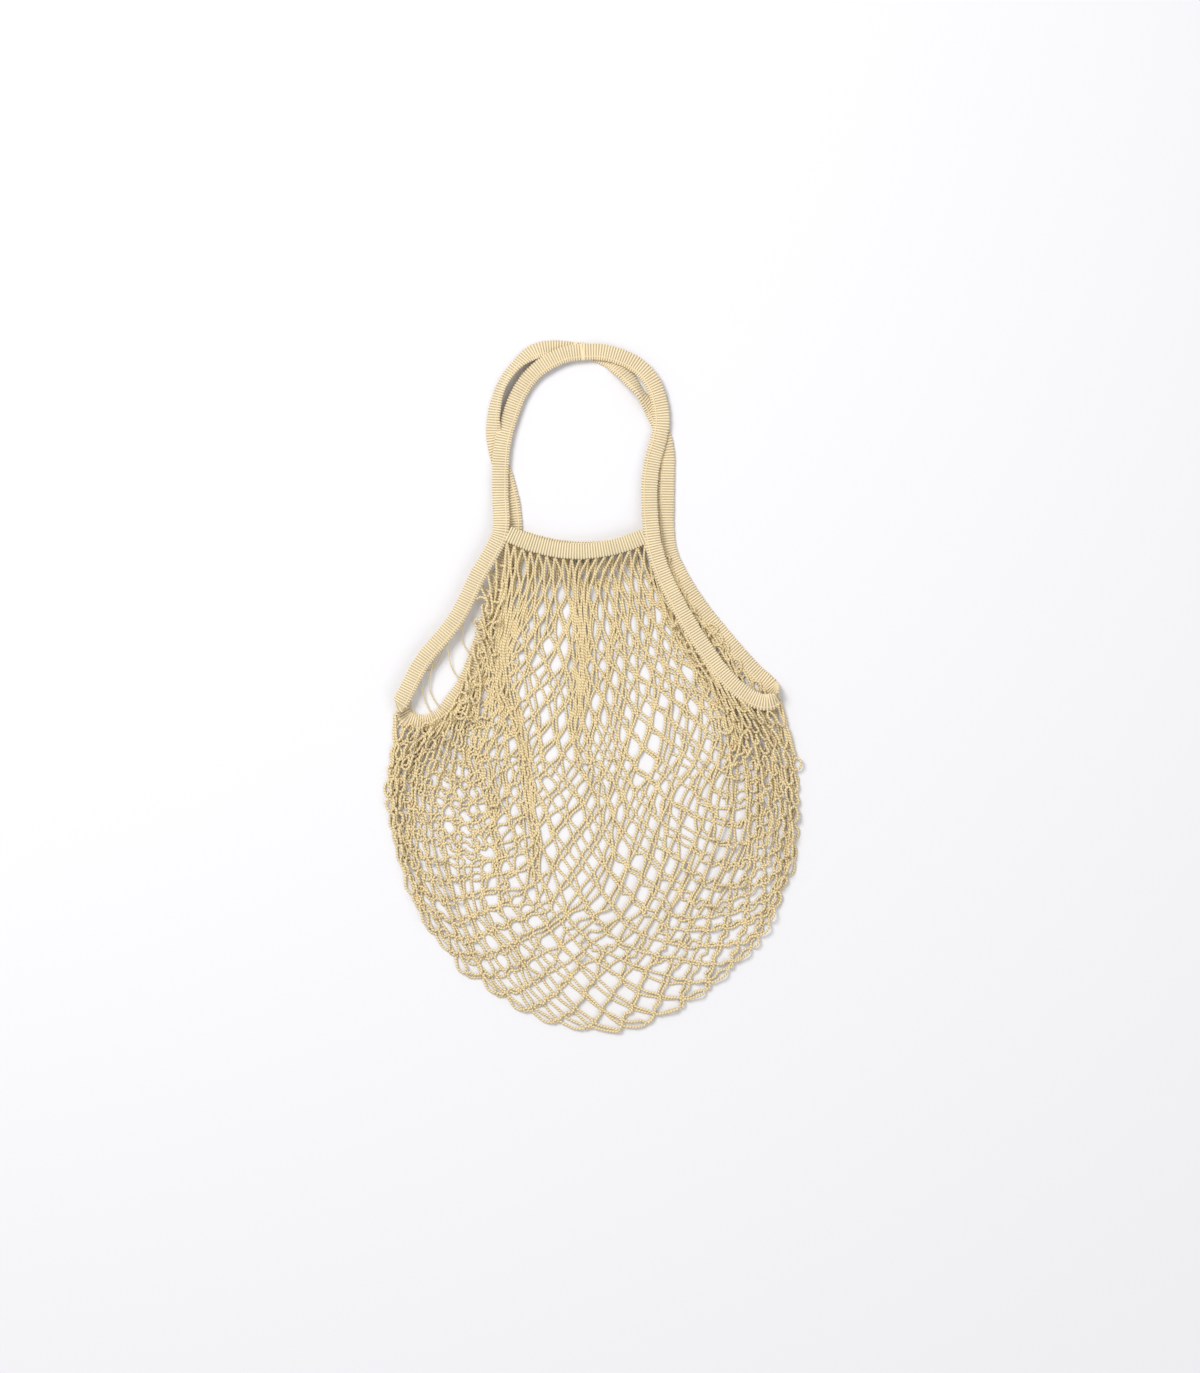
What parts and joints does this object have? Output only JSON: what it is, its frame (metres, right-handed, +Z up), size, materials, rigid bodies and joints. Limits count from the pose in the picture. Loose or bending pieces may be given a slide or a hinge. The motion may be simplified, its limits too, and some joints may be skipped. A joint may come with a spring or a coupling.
{
  "type": "string shopping bag",
  "caption": "Knitted cotton string shopping bag with a pair of long tape handles, lying flat on its back; its open net stretches to hold groceries.",
  "frame": {"origin": "middle of the bag's footprint, on the surface that it lies on", "axes": "+X across the bag to the right as seen from above, +Y from the net's bottom towards the handles, +Z up from the surface, through the back of the net and then the front"},
  "size_m": [0.3592, 0.6106, 0.0204],
  "materials": {
    "strap_tape": "knitted natural cotton tape, matt",
    "mouth_tape": "knitted natural cotton tape, matt",
    "net_yarn": "knitted natural cotton yarn, matt"
  },
  "bodies": {
    "root": {"strap_left": "strap_tape", "strap_right": "strap_tape", "mouth_band_front": "mouth_tape", "mouth_band_back": "mouth_tape", "net_body": "net_yarn"}
  },
  "joints": []
}
